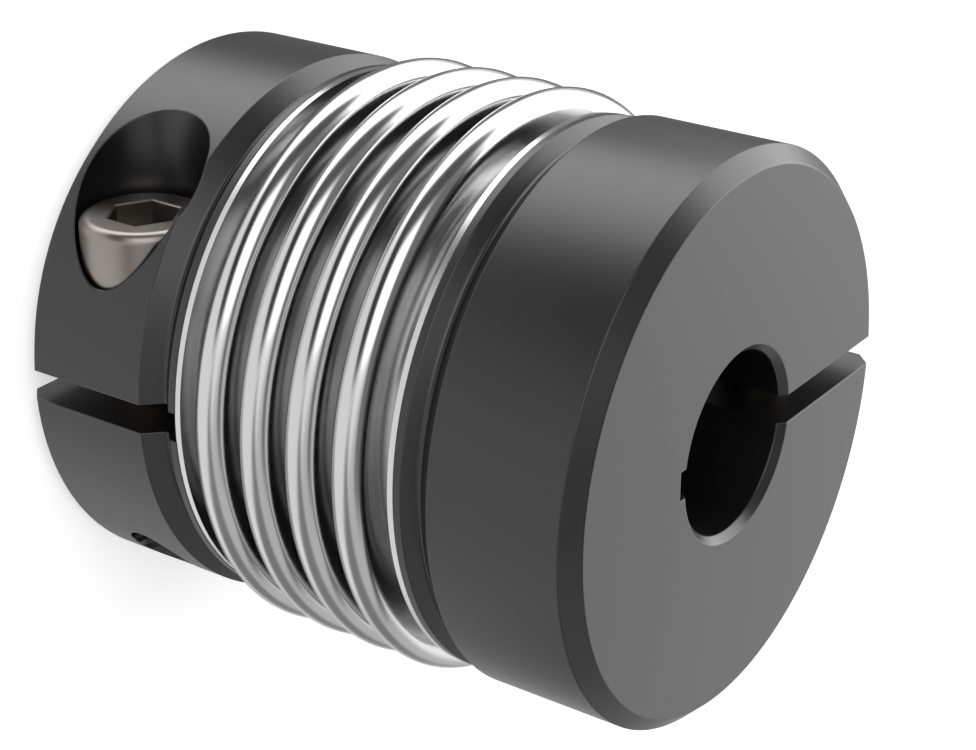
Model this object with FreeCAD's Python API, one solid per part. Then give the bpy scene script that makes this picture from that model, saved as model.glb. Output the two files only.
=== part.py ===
import FreeCAD, Part
import math
import os

from FreeCAD import Vector

# A bellows coupling stands on the end face of its lower hub.
# Z is the shaft axis, the clamping slits lie in the plane Y = 0, and both screw heads face +Y.
# All sizes are in millimetres.

# Sizes of the two equal clamp hubs, measured from a hub's own end face
hub_diameter = 72.0
hub_length = 24.75
end_chamfer = 2.0
bore_diameter = 23.0
bore_chamfer = 0.9
collar_step = 0.7           # the collar beside the bellows is this much lower than the hub's rim
collar_width = 1.05
groove_half_width = 2.4     # half the width of the V groove, where it opens on the rim
groove_floor_radius = 0.6
slit_width = 3.8
relief_depth = 1.9          # the saw cut goes this far into the bore wall opposite the slit

# Place of the clamping screw in its hub
screw_to_rim = 11.4         # from the screw's axis out to the hub's rim, along the slit
screw_from_end = 11.45      # from the screw's axis to the hub's end face
seat_above_slit = 11.5      # from the middle of the slit to the seat under the head

# Hexagon socket head cap screw, M10 x 30
thread_diameter = 10.0
thread_core_diameter = 8.4
screw_length = 30.0
screw_tip_chamfer = 0.8
head_diameter = 16.0
head_height = 10.0
head_rounding = 1.25
socket_across_flats = 8.0
socket_depth = 5.0
socket_point_angle = 120.0

# Clearances, each on the radius
pocket_clearance = 0.5      # between the head and its pocket
shank_clearance = 0.5       # between the shank and the plain hole above the slit
tapped_clearance = 0.05     # between the thread's core and the tapped hole below the slit
thread_end_clearance = 0.2  # between the full thread and the lower face of the slit

# Metal bellows
convolutions = 4
bellows_wall = 0.8
crest_above_rim = 1.4       # the crests stand this much proud of the hubs' rim
crest_radius = 2.2          # outside radius of a crest's round
root_diameter = 56.0        # over the outside surface at the bottom of a valley
valley_width = 2.45
end_valley_width = 3.1
lip_step = 0.05             # the bellows' end flange is this much lower than the collar

# Values worked out from the sizes above
hub_radius = hub_diameter / 2
bore_radius = bore_diameter / 2
collar_radius = hub_radius - collar_step
groove_apex_radius = hub_radius - groove_half_width
groove_height = hub_length - collar_width - (collar_radius - groove_apex_radius)
screw_offset = hub_radius - screw_to_rim
crest_outer_radius = hub_radius + crest_above_rim
root_radius = root_diameter / 2
lip_radius = collar_radius - lip_step
bellows_length = (2 * (bellows_wall + end_valley_width) + convolutions * 2 * crest_radius
                  + (convolutions - 1) * valley_width)
coupling_length = 2 * hub_length + bellows_length
overshoot = 1.0             # how far a cutting body runs past the face that it cuts


def on_profile(radius, height):
    """A point of a turned profile, drawn in the XZ plane."""
    return Vector(radius, 0, height)


def line(start, end):
    return Part.LineSegment(start, end).toShape()


def polyline(*points):
    return [line(start, end) for start, end in zip(points, points[1:])]


def turned(edges):
    """The solid that a closed profile sweeps about the shaft axis."""
    profile = Part.Face(Part.Wire(edges))
    return profile.revolve(Vector(0, 0, 0), Vector(0, 0, 1), 360)


def hub_blank():
    """The turned hub: chamfered rim, V groove, collar and chamfered bore."""
    tangent = groove_floor_radius / math.sqrt(2)
    floor_centre_radius = groove_apex_radius + groove_floor_radius * math.sqrt(2)
    floor_start = on_profile(floor_centre_radius - tangent, groove_height - tangent)
    floor_bottom = on_profile(floor_centre_radius - groove_floor_radius, groove_height)
    floor_end = on_profile(floor_centre_radius - tangent, groove_height + tangent)
    mouth_radius = bore_radius + bore_chamfer
    rim = polyline(
        on_profile(bore_radius, bore_chamfer),
        on_profile(mouth_radius, 0),
        on_profile(hub_radius - end_chamfer, 0),
        on_profile(hub_radius, end_chamfer),
        on_profile(hub_radius, groove_height - groove_half_width),
        floor_start)
    floor = Part.Arc(floor_start, floor_bottom, floor_end).toShape()
    collar = polyline(
        floor_end,
        on_profile(collar_radius, hub_length - collar_width),
        on_profile(collar_radius, hub_length),
        on_profile(mouth_radius, hub_length),
        on_profile(bore_radius, hub_length - bore_chamfer),
        on_profile(bore_radius, bore_chamfer))
    return turned(rim + [floor] + collar)


def across_slit(radius, low, high):
    """A round bar on the lower screw's axis, from low to high above the slit's middle plane."""
    start = Vector(-screw_offset, low, screw_from_end)
    return Part.makeCylinder(radius, high - low, start, Vector(0, 1, 0))


def lower_clamp_hub():
    """The hub sawn open on -X, with the screw's pocket, plain hole and tapped hole."""
    slit_start = -(hub_radius + overshoot)
    slit_end = bore_radius + relief_depth
    slit = Part.makeBox(slit_end - slit_start, slit_width, hub_length + 2 * overshoot,
                        Vector(slit_start, -slit_width / 2, -overshoot))
    outside = hub_radius + overshoot
    pocket = across_slit(head_diameter / 2 + pocket_clearance, seat_above_slit, outside)
    plain_hole = across_slit(thread_diameter / 2 + shank_clearance, 0, seat_above_slit + overshoot)
    tapped_hole = across_slit(thread_core_diameter / 2 + tapped_clearance, -outside, 0)
    return hub_blank().cut([slit, pocket, plain_hole, tapped_hole])


def hexagon_socket(top):
    """The cutter for the key's hexagon, with a drilled point at its bottom, below the height top."""
    corner_radius = socket_across_flats / math.sqrt(3)
    corners = [Vector(corner_radius * math.sin(step * math.pi / 3),
                      corner_radius * math.cos(step * math.pi / 3),
                      top + overshoot) for step in range(7)]
    prism = Part.Face(Part.makePolygon(corners)).extrude(Vector(0, 0, -(socket_depth + overshoot)))
    point_height = (socket_across_flats / 2) / math.tan(math.radians(socket_point_angle / 2))
    point = Part.makeCone(0, socket_across_flats / 2, point_height,
                          Vector(0, 0, top - socket_depth - point_height))
    return prism.fuse(point)


def cap_screw():
    """The screw along +Z with the seat of its head at height 0."""
    head_radius = head_diameter / 2
    thread_radius = thread_diameter / 2
    core_radius = thread_core_diameter / 2
    full_thread_end = -(seat_above_slit + slit_width / 2 - thread_end_clearance)
    rounding_centre = Vector(head_radius - head_rounding, 0, head_height - head_rounding)
    on_the_round = rounding_centre + Vector(1, 0, 1) * (head_rounding / math.sqrt(2))
    rounding_start = on_profile(head_radius, head_height - head_rounding)
    rounding_end = on_profile(head_radius - head_rounding, head_height)
    below = polyline(
        on_profile(0, -screw_length),
        on_profile(core_radius - screw_tip_chamfer, -screw_length),
        on_profile(core_radius, screw_tip_chamfer - screw_length),
        on_profile(core_radius, full_thread_end),
        on_profile(thread_radius, full_thread_end),
        on_profile(thread_radius, 0),
        on_profile(head_radius, 0),
        rounding_start)
    rounding = Part.Arc(rounding_start, on_the_round, rounding_end).toShape()
    top = polyline(rounding_end, on_profile(0, head_height), on_profile(0, -screw_length))
    return turned(below + [rounding] + top).cut(hexagon_socket(head_height))


def lower_clamp_screw():
    """The screw turned to lie along +Y, seated in the lower hub's pocket."""
    screw = cap_screw()
    screw.rotate(Vector(0, 0, 0), Vector(1, 0, 0), -90)
    screw.translate(Vector(-screw_offset, seat_above_slit, screw_from_end))
    return screw


def turned_over(shape):
    """The same piece at the coupling's other end: half a turn about Y at mid height."""
    upper = shape.copy()
    upper.rotate(Vector(0, 0, coupling_length / 2), Vector(0, 1, 0), 180)
    return upper


def wave_side(round_widths, inside):
    """One side of the bellows' wall as joined edges, from the lower flange to the upper flange.

    round_widths alternates valleys and crests upwards. inside is 0 on the outer side of the
    wall and the wall's thickness on the inner side.
    """
    edges = []
    height = hub_length + bellows_wall
    position = on_profile(lip_radius, height - inside)
    for index, width in enumerate(round_widths):
        is_valley = index % 2 == 0
        middle = height + width / 2
        if is_valley:
            centre_radius = root_radius + width / 2
            bend = width / 2 + inside
            far_radius = centre_radius - bend
        else:
            centre_radius = crest_outer_radius - width / 2
            bend = width / 2 - inside
            far_radius = centre_radius + bend
        start = on_profile(centre_radius, middle - bend)
        end = on_profile(centre_radius, middle + bend)
        edges.append(line(position, start))
        edges.append(Part.Arc(start, on_profile(far_radius, middle), end).toShape())
        position = end
        height += width
    edges.append(line(position, on_profile(lip_radius, height + inside)))
    return edges


def bellows():
    """Thin wall folded into round crests and valleys, with a flat flange at each end."""
    rounds = [end_valley_width]
    for _ in range(convolutions - 1):
        rounds += [2 * crest_radius, valley_width]
    rounds += [2 * crest_radius, end_valley_width]
    outer = wave_side(rounds, 0)
    inner = wave_side(rounds, bellows_wall)
    flange_bottom = hub_length
    flange_top = hub_length + bellows_length
    lower_lip = line(on_profile(lip_radius, flange_bottom),
                     on_profile(lip_radius, flange_bottom + bellows_wall))
    upper_lip = line(on_profile(lip_radius, flange_top - bellows_wall),
                     on_profile(lip_radius, flange_top))
    wall = outer + [upper_lip] + inner[::-1] + [lower_lip]
    return turned(wall)


pieces = {
    "lower_clamp_hub": lower_clamp_hub(),
    "upper_clamp_hub": turned_over(lower_clamp_hub()),
    "lower_clamp_screw": lower_clamp_screw(),
    "upper_clamp_screw": turned_over(lower_clamp_screw()),
    "bellows": bellows(),
}

os.makedirs("parts", exist_ok=True)
for name, shape in pieces.items():
    solid = shape.Solids[0]
    solid.exportStep(os.path.join("parts", name + ".step"))
    print(name, "solids", len(shape.Solids), "valid", solid.isValid(), "volume", round(solid.Volume, 1))
print("coupling length", round(coupling_length, 2))
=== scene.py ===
import bpy
import bmesh
import math
from mathutils import Matrix, Vector


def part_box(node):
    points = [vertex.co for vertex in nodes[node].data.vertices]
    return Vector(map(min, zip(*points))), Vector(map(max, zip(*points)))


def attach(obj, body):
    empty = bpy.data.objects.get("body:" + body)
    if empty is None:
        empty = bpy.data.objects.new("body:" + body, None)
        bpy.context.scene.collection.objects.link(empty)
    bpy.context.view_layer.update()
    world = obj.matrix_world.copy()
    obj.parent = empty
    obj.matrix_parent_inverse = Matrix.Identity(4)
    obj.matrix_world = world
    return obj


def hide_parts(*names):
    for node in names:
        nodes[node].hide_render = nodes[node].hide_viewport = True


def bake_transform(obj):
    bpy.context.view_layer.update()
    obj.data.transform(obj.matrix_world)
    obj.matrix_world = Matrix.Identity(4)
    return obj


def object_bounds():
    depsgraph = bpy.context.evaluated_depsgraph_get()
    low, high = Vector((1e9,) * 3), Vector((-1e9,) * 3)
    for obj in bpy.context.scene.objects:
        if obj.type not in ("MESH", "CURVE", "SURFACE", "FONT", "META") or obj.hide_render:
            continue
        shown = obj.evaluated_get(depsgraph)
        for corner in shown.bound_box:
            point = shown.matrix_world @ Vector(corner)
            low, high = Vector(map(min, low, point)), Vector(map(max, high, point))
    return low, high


# A bellows coupling: two black clamp hubs, a polished metal bellows between them, and a cap screw
# in each hub. The coupling stands on its lower end face. Lengths are in metres.

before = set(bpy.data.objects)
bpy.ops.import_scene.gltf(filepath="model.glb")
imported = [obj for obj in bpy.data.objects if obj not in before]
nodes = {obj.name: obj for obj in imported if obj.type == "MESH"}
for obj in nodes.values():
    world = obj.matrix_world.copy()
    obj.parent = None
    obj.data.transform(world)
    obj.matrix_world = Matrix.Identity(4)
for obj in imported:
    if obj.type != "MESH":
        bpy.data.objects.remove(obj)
cad_low, cad_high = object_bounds()
mm = 0.001


# The two clamp hubs. Each is turned from aluminium bar, sawn open on one side so that its screw can
# clamp it on a shaft, blasted fine and anodised black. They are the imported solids, finished here.

hub_black = (0.0025, 0.0025, 0.0027, 1)
hub_black_thin = (0.0035, 0.0035, 0.0037, 1)
sealed_layer_index = 1.68
broken_edge = 0.28 * mm
ring_spacing = 0.25 * mm
grain_size = 0.12 * mm
clouds_per_metre = 90.0
grain_range = (0.2, 0.8)
cloud_range = (0.3, 0.7)
hub_roughness = (0.30, 0.34)
hub_finish_strength = 0.2
finish_depth = 0.01 * mm


class Nodes:
    """Adds nodes to one tree. Inputs are values or other nodes' outputs, by name or by place."""

    def __init__(self, tree):
        self.tree = tree

    def node(self, kind, inputs=None, **settings):
        node = self.tree.nodes.new(kind)
        for name, value in settings.items():
            setattr(node, name, value)
        for name, value in (inputs or {}).items():
            self.feed(node.inputs[name], value)
        return node

    def feed(self, socket, value):
        if isinstance(value, bpy.types.NodeSocket):
            self.tree.links.new(value, socket)
        else:
            socket.default_value = value

    def add(self, kind, inputs=None, output=0, **settings):
        return self.node(kind, inputs, **settings).outputs[output]

    def math(self, operation, *values):
        return self.add("ShaderNodeMath", dict(enumerate(values)), operation=operation)

    def half(self, value):
        return self.math("MULTIPLY", value, 0.5)

    def remap(self, value, low, high, new_low=0.0, new_high=1.0):
        return self.add("ShaderNodeMapRange", {"Value": value, "From Min": low, "From Max": high,
                                               "To Min": new_low, "To Max": new_high})

    def mix_colour(self, share, first, second):
        """The two colours' own sockets are the seventh and eighth of the node."""
        return self.add("ShaderNodeMix", {0: share, 6: first, 7: second}, 2, data_type="RGBA")


def new_group(name, kind, inputs, outputs):
    """A node group with named inputs, each with its default value, and named outputs."""
    group = bpy.data.node_groups.new(name, kind)
    for label, (socket_type, value) in inputs.items():
        socket = group.interface.new_socket(label, in_out="INPUT", socket_type=socket_type)
        if value is not None:
            socket.default_value = value
    for label, socket_type in outputs.items():
        group.interface.new_socket(label, in_out="OUTPUT", socket_type=socket_type)
    given = group.nodes.new("NodeGroupInput").outputs
    result = group.nodes.new("NodeGroupOutput").inputs
    return Nodes(group), given, result


def turned_finish():
    """Fine rings round the shaft axis, as a lathe leaves them, with a fine grain and a soft cloud."""
    n, given, result = new_group(
        "turned_finish", "ShaderNodeTree",
        {"Ring Spacing": ("NodeSocketFloat", ring_spacing), "Grain Size": ("NodeSocketFloat", grain_size)},
        {"Rings": "NodeSocketFloat", "Grain": "NodeSocketFloat", "Cloud": "NodeSocketFloat"})
    point = n.add("ShaderNodeTexCoord", output="Object")
    part = n.node("ShaderNodeSeparateXYZ", {0: point}).outputs
    across = n.add("ShaderNodeCombineXYZ", {"X": part["X"], "Y": part["Y"]})
    radius = n.add("ShaderNodeVectorMath", {0: across}, "Value", operation="LENGTH")
    profile_point = n.add("ShaderNodeCombineXYZ", {"X": radius, "Y": part["Z"]})
    rings_per_metre = n.math("DIVIDE", 1.0, given["Ring Spacing"])
    grains_per_metre = n.math("DIVIDE", 1.0, given["Grain Size"])
    rings = n.add("ShaderNodeTexNoise", {"Vector": profile_point, "Detail": 2.0, "Scale": rings_per_metre},
                  noise_dimensions="2D")
    grain = n.add("ShaderNodeTexNoise", {"Vector": point, "Detail": 1.0, "Scale": grains_per_metre})
    cloud = n.add("ShaderNodeTexNoise", {"Vector": point, "Detail": 3.0, "Scale": clouds_per_metre})
    n.feed(result["Rings"], rings)
    n.feed(result["Grain"], grain)
    n.feed(result["Cloud"], n.remap(cloud, *cloud_range))
    return n.tree


finish_group = turned_finish()


def new_material(name):
    material = bpy.data.materials.new(name)
    material.use_nodes = True
    return material, Nodes(material.node_tree), material.node_tree.nodes["Principled BSDF"].inputs


screw_low, screw_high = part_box("upper_clamp_screw")
screw_axis_x = (screw_low.x + screw_high.x) / 2
screw_axis_z = (screw_low.z + screw_high.z) / 2
middle_z = (cad_low.z + cad_high.z) / 2
tapped_hole_radius = 4.25 * mm
hole_margin = 0.05 * mm
thread_pitch = 1.5 * mm
thread_bump_depth = 0.1 * mm


def screw_frame():
    """A point as seen from the nearest clamping screw: X and Y across its axis, Z along it.

    The two screws are the same but for half a turn about Y at mid height, so folding X and the
    height gives both. Own Side is 0 where the fold meets the side that has no screw.
    """
    n, _, result = new_group("screw_frame", "ShaderNodeTree", {},
                             {"Point": "NodeSocketVector", "Distance": "NodeSocketFloat",
                              "Own Side": "NodeSocketFloat"})
    part = n.node("ShaderNodeSeparateXYZ", {0: n.add("ShaderNodeTexCoord", output="Object")}).outputs
    above = n.math("SUBTRACT", part["Z"], middle_z)
    across = n.math("SUBTRACT", n.math("ABSOLUTE", part["X"]), screw_axis_x)
    along = n.math("SUBTRACT", n.math("ABSOLUTE", above), screw_axis_z - middle_z)
    squares = n.math("ADD", n.math("POWER", across, 2.0), n.math("POWER", along, 2.0))
    n.feed(result["Point"], n.add("ShaderNodeCombineXYZ", {"X": across, "Y": along, "Z": part["Y"]}))
    n.feed(result["Distance"], n.math("SQRT", squares))
    n.feed(result["Own Side"], n.math("GREATER_THAN", n.math("MULTIPLY", part["X"], above), 0.0))
    return n.tree


screw_frame_group = screw_frame()


def tapped_thread(n):
    """Height of the thread cut inside the tapped hole, and 0 elsewhere on the hub."""
    seen = n.node("ShaderNodeGroup", node_tree=screw_frame_group).outputs
    part = n.node("ShaderNodeSeparateXYZ", {0: seen["Point"]}).outputs
    turns = n.math("DIVIDE", n.math("ARCTAN2", part["Y"], part["X"]), 2 * math.pi)
    phase = n.math("FRACT", n.math("ADD", n.math("DIVIDE", part["Z"], thread_pitch), turns))
    ridge = n.math("MULTIPLY", n.math("ABSOLUTE", n.math("SUBTRACT", phase, 0.5)), 2.0)
    inside = n.math("LESS_THAN", seen["Distance"], tapped_hole_radius + hole_margin)
    below_slit = n.math("LESS_THAN", part["Z"], 0.0)
    place = n.math("MULTIPLY", n.math("MULTIPLY", inside, below_slit), seen["Own Side"])
    return n.math("MULTIPLY", ridge, place)


def anodised_aluminium():
    material, n, surface = new_material("black_anodised_aluminium")
    marks = n.node("ShaderNodeGroup", node_tree=finish_group).outputs
    n.feed(surface["Base Color"], n.mix_colour(marks["Cloud"], hub_black, hub_black_thin))
    n.feed(surface["Roughness"], n.remap(marks["Grain"], *grain_range, *hub_roughness))
    n.feed(surface["IOR"], sealed_layer_index)
    edges = n.add("ShaderNodeBevel", {"Radius": broken_edge}, samples=8)
    thread = n.add("ShaderNodeBump", {"Height": tapped_thread(n), "Distance": thread_bump_depth,
                                      "Normal": edges})
    height = n.math("ADD", n.half(marks["Rings"]), n.half(marks["Grain"]))
    n.feed(surface["Normal"], n.add("ShaderNodeBump", {"Height": height, "Strength": hub_finish_strength,
                                                       "Distance": finish_depth, "Normal": thread}))
    return material


hub_finish = anodised_aluminium()
for name in ("lower_clamp_hub", "upper_clamp_hub"):
    nodes[name].data.materials.clear()
    nodes[name].data.materials.append(hub_finish)


# The metal bellows. It is a thin stainless steel tube, pressed from inside into four round crests,
# with a flat flange at each end that is welded to its hub. The outside is polished.

bellows_low, bellows_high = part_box("bellows")
bellows_middle = (bellows_low.z + bellows_high.z) / 2
convolutions = 4
crest_radius = 2.2 * mm
valley_width = 2.45 * mm
end_valley_width = 3.1 * mm
root_radius = 28.0 * mm
flange_radius = 35.25 * mm
bellows_wall = 0.8 * mm
crest_outer_radius = bellows_high.x
segments_round = 240
crest_steps = 16
valley_steps = 8
end_valley_steps = 10
flank_points = 6
profile_weld = 0.001 * mm
steel_bright = (0.70, 0.70, 0.70, 1)
steel_shade = (0.66, 0.66, 0.66, 1)
steel_roughness = (0.14, 0.17)
steel_ring_spacing = 0.08 * mm
steel_grain_size = 0.25 * mm
steel_finish_strength = 0.04
bellows_sharp_angle = math.radians(40)


def wave_tree():
    """The outer side of the wall: a profile of round crests and hairpin valleys, swept round the axis.

    The profile lies in the tree's XY plane, with X out from the root radius and Y along the axis
    from mid height. It is the same both ways up.
    """
    lengths = {"Crest Radius": crest_radius, "Valley Width": valley_width,
               "End Valley Width": end_valley_width, "Root Radius": root_radius,
               "Crest Outer Radius": crest_outer_radius, "Flange Radius": flange_radius,
               "Mid Height": bellows_middle}
    counts = {"Convolutions": convolutions, "Segments Round": segments_round}
    inputs = {label: ("NodeSocketFloat", value) for label, value in lengths.items()}
    inputs.update({label: ("NodeSocketInt", value) for label, value in counts.items()})
    inputs["Finish"] = ("NodeSocketMaterial", None)
    n, given, result = new_group("bellows_wave", "GeometryNodeTree", inputs, {"Mesh": "NodeSocketGeometry"})

    def point(x, y):
        return n.add("ShaderNodeCombineXYZ", {"X": x, "Y": y})

    def joined(*parts):
        node = n.node("GeometryNodeJoinGeometry")
        for part in parts:
            n.tree.links.new(part, node.inputs[0])
        return node.outputs[0]

    def half_round(radius, start_angle, steps):
        return n.add("GeometryNodeCurveArc", {"Resolution": steps + 1, "Radius": radius,
                                              "Start Angle": start_angle, "Sweep Angle": math.pi})

    def flank(start, end):
        line = n.add("GeometryNodeCurvePrimitiveLine", {"Start": start, "End": end})
        return n.add("GeometryNodeResampleCurve", {"Curve": line, "Count": flank_points})

    def hairpin(width, reach_below, reach_above, steps):
        bend = n.half(width)
        bend_below = n.math("MULTIPLY", bend, -1.0)
        arc = n.add("GeometryNodeTransform", {"Geometry": half_round(bend, math.pi / 2, steps),
                                              "Translation": point(bend, 0.0)})
        return joined(arc, flank(point(bend, bend_below), point(reach_below, bend_below)),
                      flank(point(bend, bend), point(reach_above, bend)))

    def repeated(shape, count, first, step):
        """count copies of a curve along Y."""
        places = n.add("GeometryNodeMeshLine", {"Count": count, "Start Location": first, "Offset": step})
        placed = n.add("GeometryNodeInstanceOnPoints", {"Points": places, "Instance": shape})
        return n.add("GeometryNodeRealizeInstances", {"Geometry": placed})

    def moved(shape, y, turn=0.0):
        return n.add("GeometryNodeTransform", {"Geometry": shape, "Translation": point(0.0, y),
                                               "Rotation": (turn, 0.0, 0.0)})

    crest = given["Crest Radius"]
    crest_centre = n.math("SUBTRACT", given["Crest Outer Radius"], crest)
    crest_reach = n.math("SUBTRACT", crest_centre, given["Root Radius"])
    flange_reach = n.math("SUBTRACT", given["Flange Radius"], given["Root Radius"])
    pitch = n.math("ADD", n.math("MULTIPLY", crest, 2.0), given["Valley Width"])
    valley_count = n.math("SUBTRACT", given["Convolutions"], 1.0)
    half_span = n.math("MULTIPLY", pitch, n.half(valley_count))
    low_crest = n.math("MULTIPLY", half_span, -1.0)
    low_valley = n.math("ADD", low_crest, n.half(pitch))
    last_crest_edge = n.math("ADD", half_span, crest)
    end_valley = n.math("ADD", last_crest_edge, n.half(given["End Valley Width"]))
    crests = repeated(half_round(crest, -math.pi / 2, crest_steps), given["Convolutions"],
                      point(crest_reach, low_crest), point(0.0, pitch))
    valleys = repeated(hairpin(given["Valley Width"], crest_reach, crest_reach, valley_steps),
                       valley_count, point(0.0, low_valley), point(0.0, pitch))
    end_hairpin = hairpin(given["End Valley Width"], crest_reach, flange_reach, end_valley_steps)
    upper_end = moved(end_hairpin, end_valley)
    lower_end = moved(end_hairpin, n.math("MULTIPLY", end_valley, -1.0), math.pi)
    edges = n.add("GeometryNodeCurveToMesh", {"Curve": joined(crests, valleys, upper_end, lower_end)})
    chain = n.add("GeometryNodeMergeByDistance", {"Geometry": edges, "Distance": profile_weld})
    profile = n.add("GeometryNodeMeshToCurve", {"Mesh": chain})
    guide = n.add("GeometryNodeCurvePrimitiveCircle", {"Resolution": given["Segments Round"],
                                                       "Radius": given["Root Radius"]})
    wave = n.add("GeometryNodeCurveToMesh", {"Curve": guide, "Profile Curve": profile})
    place = n.add("ShaderNodeCombineXYZ", {"Z": given["Mid Height"]})
    placed = n.add("GeometryNodeTransform", {"Geometry": wave, "Translation": place})
    smooth = n.add("GeometryNodeSetShadeSmooth", {"Geometry": placed})
    realized = n.add("GeometryNodeRealizeInstances", {"Geometry": smooth})
    finished = n.add("GeometryNodeSetMaterial", {"Geometry": realized, "Material": given["Finish"]})
    n.feed(result["Mesh"], finished)
    return n.tree


def polished_steel():
    material, n, surface = new_material("polished_stainless_steel")
    marks = n.node("ShaderNodeGroup", {"Ring Spacing": steel_ring_spacing, "Grain Size": steel_grain_size},
                   node_tree=finish_group).outputs
    n.feed(surface["Base Color"], n.mix_colour(marks["Cloud"], steel_shade, steel_bright))
    n.feed(surface["Roughness"], n.remap(marks["Cloud"], 0.0, 1.0, *steel_roughness))
    n.feed(surface["Metallic"], 1.0)
    n.feed(surface["Normal"], n.add("ShaderNodeBump", {
        "Height": marks["Grain"], "Strength": steel_finish_strength, "Distance": finish_depth}))
    return material


def new_piece(name, mesh):
    piece = bpy.data.objects.new(name, mesh)
    bpy.context.scene.collection.objects.link(piece)
    return piece


def settled(piece):
    """Turns a piece with its modifiers into one plain mesh."""
    bpy.context.view_layer.update()
    evaluated = piece.evaluated_get(bpy.context.evaluated_depsgraph_get())
    mesh = bpy.data.meshes.new_from_object(evaluated)
    piece.modifiers.clear()
    piece.data = mesh
    mesh.name = piece.name


def grow(piece, tree, **values):
    """Puts a Geometry Nodes tree on a piece and sets its named inputs."""
    modifier = piece.modifiers.new(tree.name, "NODES")
    modifier.node_group = tree
    for item in tree.interface.items_tree:
        label = item.name.replace(" ", "_")
        if item.in_out == "INPUT" and label in values:
            modifier[item.identifier] = values[label]


bellows = new_piece("metal_bellows", bpy.data.meshes.new("metal_bellows"))
grow(bellows, wave_tree(), Finish=polished_steel())
thickness = bellows.modifiers.new("wall", "SOLIDIFY")
thickness.thickness = bellows_wall
thickness.offset = -1
settled(bellows)
bellows.data.set_sharp_from_angle(angle=bellows_sharp_angle)
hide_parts("bellows")
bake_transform(bellows)


# The two clamping screws, M10 x 30 cap screws with a hexagon socket. They are nickel-plated steel,
# headed and rolled, and lie across the slits with their heads sunk in the hubs' pockets.

head_radius = 8.0 * mm
head_height = 10.0 * mm
head_rounding = 1.25 * mm
head_lower_chamfer = 0.25 * mm
rounding_steps = 8
top_margin = 0.04 * mm
side_margin = 0.05 * mm
socket_half_flats = 4.0 * mm
socket_depth = 5.0 * mm
socket_mouth_chamfer = 0.18 * mm
drill_radius = 0.999 * socket_half_flats
drill_point_depth = socket_half_flats * math.tan(math.radians(30))
thread_radius = 5.0 * mm
thread_core_radius = 4.2 * mm
neck_radius = (thread_radius + thread_core_radius) / 2
root_share = 0.25
crest_share = 0.875
runout_start = 0.5 * mm
runout_end = 2.0 * mm
shank_length = 30.0 * mm
tip_chamfer = 0.8 * mm
tip_closing = 0.001 * mm
screw_weld = 0.002 * mm
screw_segments = 96
rows_per_pitch = 14
ring_angles = [2 * math.pi * step / screw_segments - math.pi for step in range(screw_segments)]
nickel_bright = (0.35, 0.32, 0.29, 1)
nickel_dull = (0.30, 0.275, 0.25, 1)
nickel_roughness = (0.30, 0.36)
nickel_grain_size = 0.1 * mm
nickel_finish_strength = 0.1
screw_sharp_angle = math.radians(28)


def round_ring(radius, height):
    return [Vector((radius * math.cos(angle), radius * math.sin(angle), height)) for angle in ring_angles]


def hexagon_ring(half_flats, height):
    """Points at the ring's own angles on a hexagon whose corners point along Y."""
    points = []
    for angle in ring_angles:
        off_flat = (angle + math.pi / 6) % (math.pi / 3) - math.pi / 6
        points.append(Vector((math.cos(angle), math.sin(angle), 0)) * (half_flats / math.cos(off_flat))
                      + Vector((0, 0, height)))
    return points


def screw_head():
    """The head as rings from the bottom of the socket, over the top and the side, to the neck."""
    socket_floor = head_height - socket_depth
    rounding_centre = head_radius - head_rounding
    rings = [
        round_ring(drill_radius, socket_floor),
        hexagon_ring(socket_half_flats, socket_floor),
        hexagon_ring(socket_half_flats, head_height - socket_mouth_chamfer),
        hexagon_ring(socket_half_flats + socket_mouth_chamfer, head_height),
        round_ring(rounding_centre - top_margin, head_height)]
    for step in range(rounding_steps + 1):
        turn = math.pi / 2 * step / rounding_steps
        rings.append(round_ring(rounding_centre + head_rounding * math.sin(turn),
                                head_height - head_rounding * (1 - math.cos(turn))))
    rings += [
        round_ring(head_radius, head_height - head_rounding - side_margin),
        round_ring(head_radius, head_lower_chamfer),
        round_ring(head_radius - head_lower_chamfer, 0.0),
        round_ring(neck_radius, 0.0)]
    mesh = bmesh.new()
    loops = [[mesh.verts.new(point) for point in ring] for ring in rings]
    tip = mesh.verts.new((0, 0, socket_floor - drill_point_depth))
    for index in range(screw_segments):
        after = (index + 1) % screw_segments
        mesh.faces.new((tip, loops[0][index], loops[0][after]))
        for inner, outer in zip(loops, loops[1:]):
            mesh.faces.new((inner[index], outer[index], outer[after], inner[after]))
    head = bpy.data.meshes.new("screw_head")
    mesh.to_mesh(head)
    mesh.free()
    return head


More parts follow.
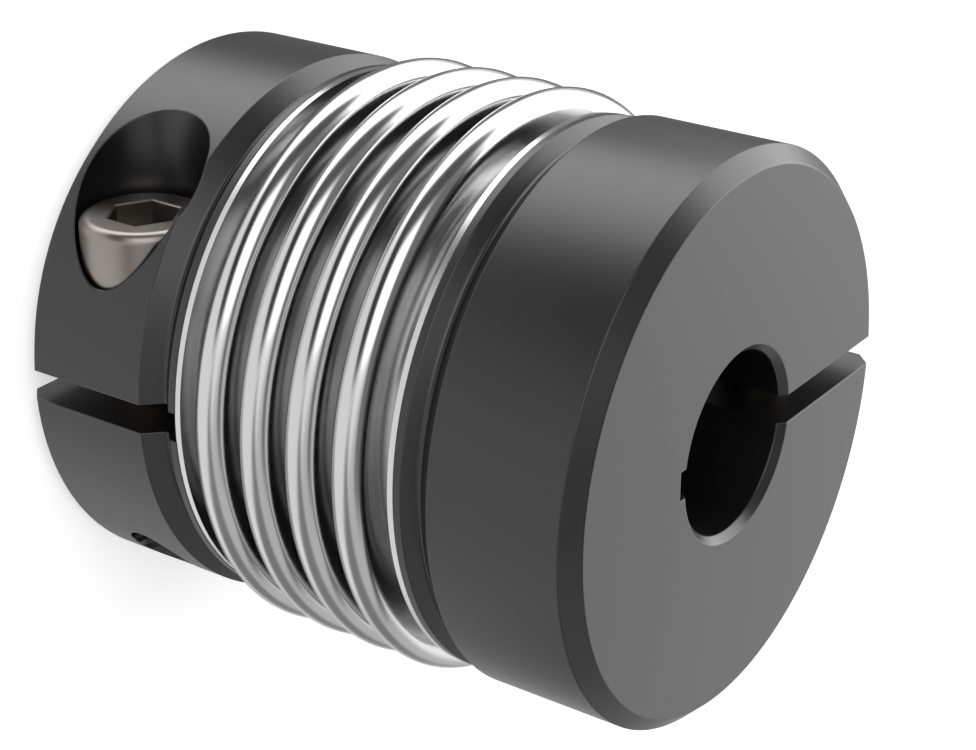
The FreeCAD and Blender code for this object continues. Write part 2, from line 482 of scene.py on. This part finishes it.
def thread_tree():
    """Adds the rolled thread below the head: a grid wrapped round the screw and pushed in and out."""
    lengths = {"Thread Radius": thread_radius, "Core Radius": thread_core_radius,
               "Neck Radius": neck_radius, "Pitch": thread_pitch, "Length": shank_length,
               "Tip Chamfer": tip_chamfer}
    inputs = {"Head": ("NodeSocketGeometry", None)}
    inputs.update({label: ("NodeSocketFloat", value) for label, value in lengths.items()})
    inputs.update({"Segments Round": ("NodeSocketInt", screw_segments),
                   "Rows Per Pitch": ("NodeSocketInt", rows_per_pitch),
                   "Finish": ("NodeSocketMaterial", None)})
    n, given, result = new_group("rolled_thread", "GeometryNodeTree", inputs, {"Screw": "NodeSocketGeometry"})
    pitches = n.math("DIVIDE", given["Length"], given["Pitch"])
    rows = n.math("MULTIPLY", pitches, given["Rows Per Pitch"])
    grid = n.add("GeometryNodeMeshGrid", {"Size X": 2 * math.pi, "Size Y": given["Length"],
                                          "Vertices X": n.math("ADD", given["Segments Round"], 1.0),
                                          "Vertices Y": n.math("ADD", rows, 1.0)})
    place = n.node("ShaderNodeSeparateXYZ", {0: n.add("GeometryNodeInputPosition")}).outputs
    angle = place["X"]
    depth = n.math("SUBTRACT", n.half(given["Length"]), place["Y"])
    turns = n.math("ADD", n.math("DIVIDE", depth, given["Pitch"]), n.math("DIVIDE", angle, 2 * math.pi))
    fold = n.math("MULTIPLY", n.math("ABSOLUTE", n.math("SUBTRACT", n.math("FRACT", turns), 0.5)), 2.0)
    cut = n.math("SUBTRACT", given["Thread Radius"], given["Core Radius"])
    ridge = n.math("MULTIPLY", cut, n.remap(fold, root_share, crest_share))
    rolled = n.math("ADD", given["Core Radius"], ridge)
    runout = n.remap(depth, runout_start, runout_end)
    near_head = n.math("MULTIPLY", n.math("SUBTRACT", rolled, given["Neck Radius"]), runout)
    radius = n.math("ADD", given["Neck Radius"], near_head)
    left = n.math("SUBTRACT", given["Length"], depth)
    tip_radius = n.math("ADD", n.math("SUBTRACT", given["Core Radius"], given["Tip Chamfer"]), left)
    closed = n.math("GREATER_THAN", left, tip_closing)
    final_radius = n.math("MULTIPLY", n.math("MINIMUM", radius, tip_radius), closed)
    wrapped = n.add("ShaderNodeCombineXYZ", {
        "X": n.math("MULTIPLY", final_radius, n.math("COSINE", angle)),
        "Y": n.math("MULTIPLY", final_radius, n.math("SINE", angle)),
        "Z": n.math("MULTIPLY", depth, -1.0)})
    shank = n.add("GeometryNodeSetPosition", {"Geometry": grid, "Position": wrapped})
    both = n.node("GeometryNodeJoinGeometry")
    n.tree.links.new(shank, both.inputs[0])
    n.tree.links.new(given["Head"], both.inputs[0])
    welded = n.add("GeometryNodeMergeByDistance", {"Geometry": both.outputs[0], "Distance": screw_weld})
    realized = n.add("GeometryNodeRealizeInstances", {"Geometry": welded})
    finished = n.add("GeometryNodeSetMaterial", {"Geometry": realized, "Material": given["Finish"]})
    n.feed(result["Screw"], finished)
    return n.tree


def nickel_plate():
    material, n, surface = new_material("nickel_plated_steel")
    marks = n.node("ShaderNodeGroup", {"Grain Size": nickel_grain_size}, node_tree=finish_group).outputs
    n.feed(surface["Base Color"], n.mix_colour(marks["Cloud"], nickel_dull, nickel_bright))
    n.feed(surface["Roughness"], n.remap(marks["Grain"], *grain_range, *nickel_roughness))
    n.feed(surface["Metallic"], 1.0)
    n.feed(surface["Normal"], n.add("ShaderNodeBump", {
        "Height": marks["Grain"], "Strength": nickel_finish_strength, "Distance": finish_depth}))
    return material


def outward_smooth(piece, sharp_angle):
    """Makes a welded piece's faces all point out. Only edges sharper than the angle stay sharp."""
    work = bmesh.new()
    work.from_mesh(piece.data)
    bmesh.ops.recalc_face_normals(work, faces=work.faces)
    work.to_mesh(piece.data)
    work.free()
    piece.data.shade_smooth()
    piece.data.set_sharp_from_angle(angle=sharp_angle)


nickel = nickel_plate()
thread = thread_tree()
seat_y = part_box("lower_clamp_screw")[1].y - head_height
lower_place = Matrix.Translation((-screw_axis_x, seat_y, 2 * middle_z - screw_axis_z))
laid_across = lower_place @ Matrix.Rotation(-math.pi / 2, 4, "X")
turned_over = (Matrix.Translation((0, 0, middle_z)) @ Matrix.Rotation(math.pi, 4, "Y")
               @ Matrix.Translation((0, 0, -middle_z)))
for name, body, place in (("lower_cap_screw", "lower_half", laid_across),
                          ("upper_cap_screw", "upper_half", turned_over @ laid_across)):
    screw = new_piece(name, screw_head())
    grow(screw, thread, Finish=nickel)
    settled(screw)
    screw.data.materials.clear()
    screw.data.materials.append(nickel)
    screw.data.transform(place)
    outward_smooth(screw, screw_sharp_angle)
    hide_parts(name.replace("cap", "clamp"))
    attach(screw, body)


# The floor and the white room. The coupling stands on a pale floor, and the camera sees the floor
# and the room as white. The room lights the coupling less than half as brightly as it looks.

floor_radius = 4.0
floor_colour = (0.9, 0.9, 0.9, 1)
floor_roughness = 0.9
floor_glow = 0.5
room_light = 0.4


def background_seen(n):
    """1 for rays that look, straight or by way of metal or glass, and 0 for rays that light."""
    path = n.node("ShaderNodeLightPath").outputs
    straight = n.math("MAXIMUM", path["Is Camera Ray"], path["Is Glossy Ray"])
    return n.math("MAXIMUM", straight, path["Is Transmission Ray"])


def pale_floor():
    material, n, surface = new_material("pale_floor")
    n.feed(surface["Base Color"], floor_colour)
    n.feed(surface["Roughness"], floor_roughness)
    n.feed(surface["Specular IOR Level"], 0.0)
    n.feed(surface["Emission Color"], (1, 1, 1, 1))
    n.feed(surface["Emission Strength"], n.math("MULTIPLY", background_seen(n), floor_glow))
    return material


bpy.ops.mesh.primitive_circle_add(vertices=96, radius=floor_radius, fill_type="NGON", location=(0, 0, 0))
floor = bpy.context.object
floor.name = "floor"
floor.data.materials.append(pale_floor())
floor.visible_glossy = False
floor.visible_shadow = False

world = bpy.data.worlds.new("white_room")
world.use_nodes = True
bpy.context.scene.world = world
walls = Nodes(world.node_tree)
background = world.node_tree.nodes["Background"].inputs
walls.feed(background["Color"], (1, 1, 1, 1))
walls.feed(background["Strength"], walls.remap(background_seen(walls), 0.0, 1.0, room_light, 1.0))


# The camera looks at the coupling as the photograph does, from beside and above, turned on its side.
# Its angles, distance and lens come from a fit to the circles of the hubs in the photograph.

part_middle = Vector((1.705, -1.485, 44.76)) * mm
view_azimuth = math.radians(150.616)
view_elevation = math.radians(31.348)
view_roll = math.radians(106.495)
view_distance = 296.123 * mm
lens = 85.34

toward_camera = Vector((math.cos(view_elevation) * math.cos(view_azimuth),
                        math.cos(view_elevation) * math.sin(view_azimuth), math.sin(view_elevation)))
level_right = Vector((0, 0, 1)).cross(toward_camera).normalized()
level_up = toward_camera.cross(level_right)
picture_right = level_right * math.cos(view_roll) + level_up * math.sin(view_roll)
picture_up = level_up * math.cos(view_roll) - level_right * math.sin(view_roll)

camera_data = bpy.data.cameras.new("camera")
camera_data.lens = lens
camera_data.sensor_width = 36.0
camera_data.clip_start = 0.01
camera = bpy.data.objects.new("camera", camera_data)
bpy.context.scene.collection.objects.link(camera)
turn = Matrix((picture_right, picture_up, toward_camera)).transposed().to_4x4()
camera.matrix_world = Matrix.Translation(part_middle + toward_camera * view_distance) @ turn
bpy.context.scene.camera = camera
bpy.context.scene.view_settings.view_transform = "Standard"


# The studio's panels and lamps. Reflections see a round room of soft panels, as polished metal and
# black anodising do in a studio, and two soft lamps light the floor and the dull surfaces.

panel_room_radius = 3.0
corner_power = 4.0
furthest_fade = 30.0
lamp_distance = 1.5


def from_photo_view(right_degrees, up_degrees):
    """The direction that lies so many degrees right of and above the camera, seen from the coupling."""
    swing = math.radians(math.hypot(right_degrees, up_degrees))
    around = math.atan2(up_degrees, right_degrees)
    across = picture_right * math.cos(around) + picture_up * math.sin(around)
    return toward_camera * math.cos(swing) + across * math.sin(swing)


def soft_panel():
    """Lays one soft-edged panel over the brightness so far, seen from the middle of the room."""
    n, given, result = new_group(
        "soft_panel", "ShaderNodeTree",
        {"Light": ("NodeSocketFloat", 1.0), "Point": ("NodeSocketVector", None),
         "Toward": ("NodeSocketVector", None), "Right": ("NodeSocketVector", None),
         "Up": ("NodeSocketVector", None), "Half Width": ("NodeSocketFloat", 0.5),
         "Half Height": ("NodeSocketFloat", 0.5), "Edge": ("NodeSocketFloat", 0.1),
         "Brightness": ("NodeSocketFloat", 1.0)},
        {"Light": "NodeSocketFloat"})

    def along(axis):
        return n.add("ShaderNodeVectorMath", {0: given["Point"], 1: given[axis]}, "Value",
                     operation="DOT_PRODUCT")

    def reach(axis, half_size):
        turn = n.math("ARCTAN2", along(axis), along("Toward"))
        return n.math("POWER", n.math("DIVIDE", n.math("ABSOLUTE", turn), given[half_size]), corner_power)

    corners = n.math("ADD", reach("Right", "Half Width"), reach("Up", "Half Height"))
    outward = n.math("POWER", corners, 1 / corner_power)
    past_edge = n.math("DIVIDE", n.math("SUBTRACT", outward, 1.0), given["Edge"])
    fading = n.math("EXPONENT", n.math("MINIMUM", past_edge, furthest_fade))
    cover = n.math("DIVIDE", 1.0, n.math("ADD", 1.0, fading))
    more = n.math("MULTIPLY", n.math("SUBTRACT", given["Brightness"], given["Light"]), cover)
    n.feed(result["Light"], n.math("ADD", given["Light"], more))
    return n.tree


def studio_round(panels):
    """A round room of soft panels that only reflections see. A later panel stands before an earlier one.

    Each panel is given in degrees: right of the camera, above it, width, height and soft edge. Its
    brightness comes last, where 1 is a white wall.
    """
    bpy.ops.mesh.primitive_uv_sphere_add(segments=48, ring_count=24, radius=panel_room_radius,
                                         location=part_middle)
    room = bpy.context.object
    room.name = "studio_round"
    material, n, surface = new_material("studio_panels")
    point = n.add("ShaderNodeTexCoord", output="Object")
    panel_group = soft_panel()
    light = 1.0
    for right, up, width, height, edge, brightness in panels.values():
        toward = from_photo_view(right, up)
        swing = toward_camera.rotation_difference(toward)
        light = n.add("ShaderNodeGroup", {
            "Light": light, "Point": point, "Toward": toward, "Right": swing @ picture_right,
            "Up": swing @ picture_up, "Half Width": math.radians(width / 2),
            "Half Height": math.radians(height / 2), "Edge": edge / min(width, height) / 2,
            "Brightness": brightness}, node_tree=panel_group)
    n.feed(surface["Base Color"], (0, 0, 0, 1))
    n.feed(surface["Specular IOR Level"], 0.0)
    n.feed(surface["Emission Color"], (1, 1, 1, 1))
    n.feed(surface["Emission Strength"], light)
    material.cycles.emission_sampling = "NONE"
    room.data.materials.append(material)
    room.visible_camera = False
    room.visible_diffuse = False
    room.visible_transmission = False
    room.visible_shadow = False


studio_round({
    "grey_table": (50, -75, 120, 150, 20, 0.6),
    "table_edge": (-30, -85, 40, 120, 10, 0.25),
    "back_curtain": (-110, 60, 110, 80, 15, 0.2),
    "white_wall": (-75, 0, 80, 100, 10, 0.9),
    "far_wall": (10, 162, 110, 42, 8, 0.2),
    "side_wall": (115, -20, 70, 60, 15, 1.2),
    "side_softbox": (90, 45, 60, 50, 10, 4.0),
    "overhead_softbox": (15, 102, 100, 44, 8, 2.8),
    "left_card": (-36, 34, 30, 78, 5, 0.04),
    "upper_card": (12, 60, 74, 36, 6, 0.1),
    "right_card": (50, -5, 50, 90, 6, 0.2),
    "right_strip": (80, -20, 16, 100, 4, 0.02),
    "screw_card": (-30, 130, 35, 25, 6, 0.2),
    "camera_softbox": (5, 14, 44, 48, 4, 1.8)})


def softbox(name, right_degrees, up_degrees, width_degrees, height_degrees, brightness):
    """A soft lamp for the floor and the dull surfaces. Reflections see the panels instead."""
    lamp = bpy.data.lights.new(name, "AREA")
    lamp.shape = "RECTANGLE"
    lamp.size = 2 * lamp_distance * math.tan(math.radians(width_degrees / 2))
    lamp.size_y = 2 * lamp_distance * math.tan(math.radians(height_degrees / 2))
    lamp.energy = brightness * math.pi * lamp.size * lamp.size_y
    box = bpy.data.objects.new(name, lamp)
    bpy.context.scene.collection.objects.link(box)
    direction = from_photo_view(right_degrees, up_degrees)
    box.location = part_middle + direction * lamp_distance
    box.rotation_euler = direction.to_track_quat("Z", "Y").to_euler()
    box.visible_glossy = False


softbox("camera_softbox", 3, 15, 56, 56, 2.2)
softbox("right_softbox", 72, 62, 50, 60, 2.0)
